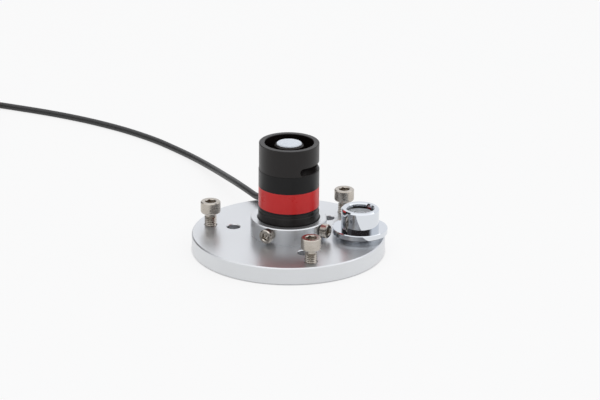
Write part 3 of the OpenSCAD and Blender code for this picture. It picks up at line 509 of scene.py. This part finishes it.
def stainless_screw():
    """Warm grey stainless steel, faintly streaked round the screw."""
    made = finish("stainless_screw", (0.5, 0.46, 0.41), Metallic=1.0, Roughness=0.28)
    vary_colour(made, 300, (0.46, 0.42, 0.37), (0.56, 0.52, 0.47))
    vary_roughness(made, 500, 0.24, 0.32, (1, 1, 5))
    grain(made, 1500, 0.06, 0.00001, (1, 1, 6))
    return made


def black_anodised():
    """Black anodised aluminium with a very slight brown."""
    made = finish("black_anodised", (0.007, 0.0056, 0.0056), Roughness=0.32, IOR=1.42)
    vary_colour(made, 120, (0.0066, 0.0044, 0.004), (0.008, 0.0054, 0.005))
    vary_roughness(made, 260, 0.32, 0.37)
    grain(made, 2500, 0.05, 0.00001)
    return made


def white_acrylic():
    """Milky acrylic that light sinks into a little."""
    made = finish("white_acrylic", (0.66, 0.71, 0.77), Roughness=0.3, IOR=1.45)
    shader = shader_of(made)
    shader.inputs["Subsurface Weight"].default_value = 0.4
    shader.inputs["Subsurface Radius"].default_value = (1, 1, 1)
    shader.inputs["Subsurface Scale"].default_value = 0.0015
    vary_roughness(made, 2500, 0.24, 0.38)
    grain(made, 5000, 0.15, 0.00001)
    return made


def label_foil(name, dark, light):
    """Smooth printed foil."""
    made = finish(name, light, Roughness=0.3, IOR=1.33)
    vary_colour(made, 90, dark, light)
    vary_roughness(made, 200, 0.27, 0.33)
    grain(made, 400, 0.03, 0.00001)
    return made


def level_chrome():
    """Bright chrome with a slight waviness in what it mirrors."""
    made = finish("level_chrome", (0.72, 0.75, 0.79), Metallic=1.0, Roughness=0.04)
    vary_roughness(made, 400, 0.025, 0.055)
    grain(made, 150, 0.06, 0.00004)
    return made


def clear_glass(name, colour, ior, roughest):
    """A clear body, smooth but for a breath of haze in places."""
    made = finish(name, colour, Roughness=0.0, IOR=ior)
    shader_of(made).inputs["Transmission Weight"].default_value = 1.0
    vary_roughness(made, 300, 0.0, roughest)
    return made


def level_backing():
    """Pale enamel with the black ring that the bubble is set to."""
    made = finish("level_backing", ENAMEL, Roughness=0.4)
    place = node(made, "ShaderNodeTexCoord")
    mapping = node(made, "ShaderNodeMapping")
    mapping.inputs["Location"].default_value = (-LEVEL_CENTRE[0], -LEVEL_CENTRE[1], 0)
    flat = node(made, "ShaderNodeVectorMath", operation="MULTIPLY")
    flat.inputs[1].default_value = (1, 1, 0)
    away = node(made, "ShaderNodeVectorMath", operation="LENGTH")
    scaled = node(made, "ShaderNodeMath", operation="DIVIDE")
    scaled.inputs[1].default_value = RING_FIELD_R
    ramp = node(made, "ShaderNodeValToRGB")
    ramp.color_ramp.interpolation = "CONSTANT"
    ramp.color_ramp.elements[0].color = (*ENAMEL, 1)
    ramp.color_ramp.elements[1].position = RING_INNER_R / RING_FIELD_R
    ramp.color_ramp.elements[1].color = (*RING_BLACK, 1)
    beyond = ramp.color_ramp.elements.new(RING_OUTER_R / RING_FIELD_R)
    beyond.color = (*ENAMEL, 1)
    join(made, place.outputs["Object"], mapping.inputs["Vector"])
    join(made, mapping.outputs["Vector"], flat.inputs[0])
    join(made, flat.outputs["Vector"], away.inputs[0])
    join(made, away.outputs["Value"], scaled.inputs[0])
    join(made, scaled.outputs[0], ramp.inputs["Fac"])
    join(made, ramp.outputs["Color"], shader_of(made).inputs["Base Color"])
    vary_roughness(made, 900, 0.32, 0.45)
    return made


def plain_metal(name, dark, light, low, high):
    """A bare or plated metal with a fine machined grain."""
    made = finish(name, light, Metallic=1.0, Roughness=low)
    vary_colour(made, 600, dark, light)
    vary_roughness(made, 1500, low, high)
    grain(made, 3500, 0.15, 0.00002)
    return made


def moulded(name, dark, light, low, high):
    """Moulded plastic or rubber with a fine matt grain."""
    made = finish(name, light, Roughness=low, IOR=1.5)
    vary_colour(made, 450, dark, light)
    vary_roughness(made, 1200, low, high)
    grain(made, 2600, 0.3, MOULDED_GRAIN)
    return made


def all_finishes():
    """One material for each slot of the record, by slot name."""
    return {
        "anodised_plate": anodised_plate(),
        "stainless_screw": stainless_screw(),
        "black_anodised": black_anodised(),
        "white_acrylic": white_acrylic(),
        "label_black": label_foil("label_black", (0.004, 0.004, 0.0045), (0.0055, 0.0055, 0.006)),
        "label_red": label_foil("label_red", (0.7, 0.03, 0.03), (0.73, 0.034, 0.034)),
        "level_chrome": level_chrome(),
        "level_glass": clear_glass("level_glass", (0.99, 0.995, 1.0), 1.45, 0.015),
        "level_liquid": clear_glass("level_liquid", (0.97, 0.99, 0.97), 1.2, 0.02),
        "level_backing": level_backing(),
        "brass": plain_metal("brass", (0.55, 0.4, 0.16), (0.66, 0.5, 0.22), 0.25, 0.4),
        "seal_rubber": moulded("seal_rubber", (0.012,) * 3, (0.02,) * 3, 0.5, 0.65),
        "cable_jacket": moulded("cable_jacket", (0.03,) * 3, (0.04,) * 3, 0.36, 0.46),
        "board_green": moulded("board_green", (0.02, 0.12, 0.05), (0.03, 0.17, 0.07), 0.3, 0.4),
        "black_moulding": moulded("black_moulding", (0.015,) * 3, (0.022,) * 3, 0.4, 0.55),
        "gold_contact": plain_metal(
            "gold_contact", (0.75, 0.5, 0.16), (0.83, 0.6, 0.22), 0.15, 0.25,
        ),
        "white_insulator": moulded(
            "white_insulator", (0.78, 0.78, 0.74), (0.84, 0.84, 0.8), 0.35, 0.45,
        ),
        "wire_red": moulded("wire_red", (0.45, 0.02, 0.015), (0.5, 0.03, 0.02), 0.35, 0.45),
        "silicon": moulded("silicon", (0.012, 0.015, 0.05), (0.015, 0.02, 0.07), 0.08, 0.14),
        "nickel_plate": plain_metal(
            "nickel_plate", (0.62, 0.61, 0.58), (0.7, 0.69, 0.66), 0.16, 0.26,
        ),
    }


def dress_frame(finishes):
    """Gives each node of the frame the finish of its slot."""
    for part in frame["record"]["subparts"]:
        piece = frame["nodes"].get(part["node"])
        if piece is not None:
            piece.data.materials.clear()
            piece.data.materials.append(finishes[part["material_slot"]])


# Studio

FLOOR_GREY = (0.78, 0.78, 0.78)
FLOOR_HALF = 30
FLOOR_LIFT = 0.82
UNDER_PLATE_R = 0.0374
OPEN_FLOOR_R = 0.0386
WALL_WHITE = (0.96, 0.97, 1, 1)
ROOM_DARK = (0.03, 0.025, 0.025, 1)
WORLD_STRENGTH = 0.95
LAMP_AIM = Vector((0, 0, 0.02))


def floor():
    """A pale floor that looks lighter than it is lit, to the camera, in metal and through glass.

    It keeps its shadows, and the part under the plate stays as it is lit.
    """
    mesh = bpy.data.meshes.new("floor")
    sheet = bmesh.new()
    bmesh.ops.create_grid(sheet, x_segments=1, y_segments=1, size=FLOOR_HALF)
    sheet.to_mesh(mesh)
    sheet.free()
    piece = bpy.data.objects.new("floor", mesh)
    bpy.context.scene.collection.objects.link(piece)
    pale = finish("floor", FLOOR_GREY, Roughness=0.9)
    shader_of(pale).inputs["Specular IOR Level"].default_value = 0.0
    place = node(pale, "ShaderNodeTexCoord")
    away = node(pale, "ShaderNodeVectorMath", operation="LENGTH")
    lift = node(
        pale, "ShaderNodeMapRange", From_Min=UNDER_PLATE_R, From_Max=OPEN_FLOOR_R,
        To_Max=FLOOR_LIFT,
    )
    path = node(pale, "ShaderNodeLightPath")
    seen = path.outputs["Is Camera Ray"]
    for kind in ("Is Glossy Ray", "Is Transmission Ray"):
        either = node(pale, "ShaderNodeMath", operation="MAXIMUM")
        join(pale, seen, either.inputs[0])
        join(pale, path.outputs[kind], either.inputs[1])
        seen = either.outputs[0]
    share = node(pale, "ShaderNodeMath", operation="MULTIPLY")
    glow = node(pale, "ShaderNodeEmission", Strength=1.0)
    blend = node(pale, "ShaderNodeMixShader")
    join(pale, place.outputs["Object"], away.inputs[0])
    join(pale, away.outputs["Value"], lift.inputs["Value"])
    join(pale, seen, share.inputs[0])
    join(pale, lift.outputs["Result"], share.inputs[1])
    join(pale, share.outputs[0], blend.inputs["Fac"])
    join(pale, shader_of(pale).outputs[0], blend.inputs[1])
    join(pale, glow.outputs[0], blend.inputs[2])
    join(pale, blend.outputs[0], pale.node_tree.nodes["Material Output"].inputs["Surface"])
    mesh.materials.append(pale)


def world_math(tree, operation, a, b):
    step = tree.nodes.new("ShaderNodeMath")
    step.operation = operation
    tree.links.new(a, step.inputs[0])
    tree.links.new(b, step.inputs[1])
    return step.outputs[0]


def world_ramp(tree, source, start, end, top):
    """Eases from 0 to top while a direction's component goes from start to end."""
    ramp = tree.nodes.new("ShaderNodeMapRange")
    ramp.interpolation_type = "SMOOTHSTEP"
    ramp.inputs["From Min"].default_value = start
    ramp.inputs["From Max"].default_value = end
    ramp.inputs["To Max"].default_value = top
    tree.links.new(source, ramp.inputs["Value"])
    return ramp.outputs["Result"]


def studio_world():
    """White walls behind and on the right, with a darker room on the left and behind the camera."""
    world = bpy.data.worlds.new("studio")
    bpy.context.scene.world = world
    world.use_nodes = True
    tree = world.node_tree
    place = tree.nodes.new("ShaderNodeTexCoord")
    parts = tree.nodes.new("ShaderNodeSeparateXYZ")
    tree.links.new(place.outputs["Generated"], parts.inputs[0])
    x, y, z = parts.outputs
    front = world_ramp(tree, y, start=-0.1, end=-0.6, top=1.0)
    left = world_ramp(tree, x, start=-0.3, end=-0.7, top=0.95)
    below_ceiling = world_ramp(tree, z, start=0.62, end=0.42, top=1.0)
    ceiling = world_ramp(tree, z, start=0.5, end=0.85, top=0.5)
    sides = world_math(tree, "MAXIMUM", front, left)
    room = world_math(tree, "MULTIPLY", sides, below_ceiling)
    dark = world_math(tree, "MAXIMUM", room, ceiling)
    colour = tree.nodes.new("ShaderNodeMix")
    colour.data_type = "RGBA"
    colour.inputs["A"].default_value = WALL_WHITE
    colour.inputs["B"].default_value = ROOM_DARK
    tree.links.new(dark, colour.inputs["Factor"])
    lit = tree.nodes["Background"]
    tree.links.new(colour.outputs["Result"], lit.inputs["Color"])
    lit.inputs["Strength"].default_value = WORLD_STRENGTH


def soft_lamp(name, place, size, power):
    """A square area lamp that faces the sensor."""
    lamp = bpy.data.lights.new(name, "AREA")
    lamp.size = size
    lamp.energy = power
    piece = bpy.data.objects.new(name, lamp)
    bpy.context.scene.collection.objects.link(piece)
    piece.location = place
    aim = LAMP_AIM - Vector(place)
    piece.rotation_euler = aim.to_track_quat("-Z", "Y").to_euler()
    piece.visible_camera = False


def studio():
    """Floor, surroundings, a broad lamp overhead and a small one on the left in front."""
    floor()
    studio_world()
    soft_lamp("top_lamp", (0.05, 0.05, 0.9), size=1.8, power=7.0)
    soft_lamp("front_lamp", (-0.35, -0.85, 0.85), size=0.6, power=1.2)
    bpy.context.scene.view_settings.view_transform = "Standard"


photograph_camera()
finishes = all_finishes()
dress_frame(finishes)
boot = plug_boot(finishes["seal_rubber"])
level_cup(finishes["level_chrome"])
level_dish(finishes["level_backing"])
level_lens(finishes["level_glass"])
strap = coil_strap(finishes["black_moulding"])
cable(finishes["cable_jacket"])
studio()
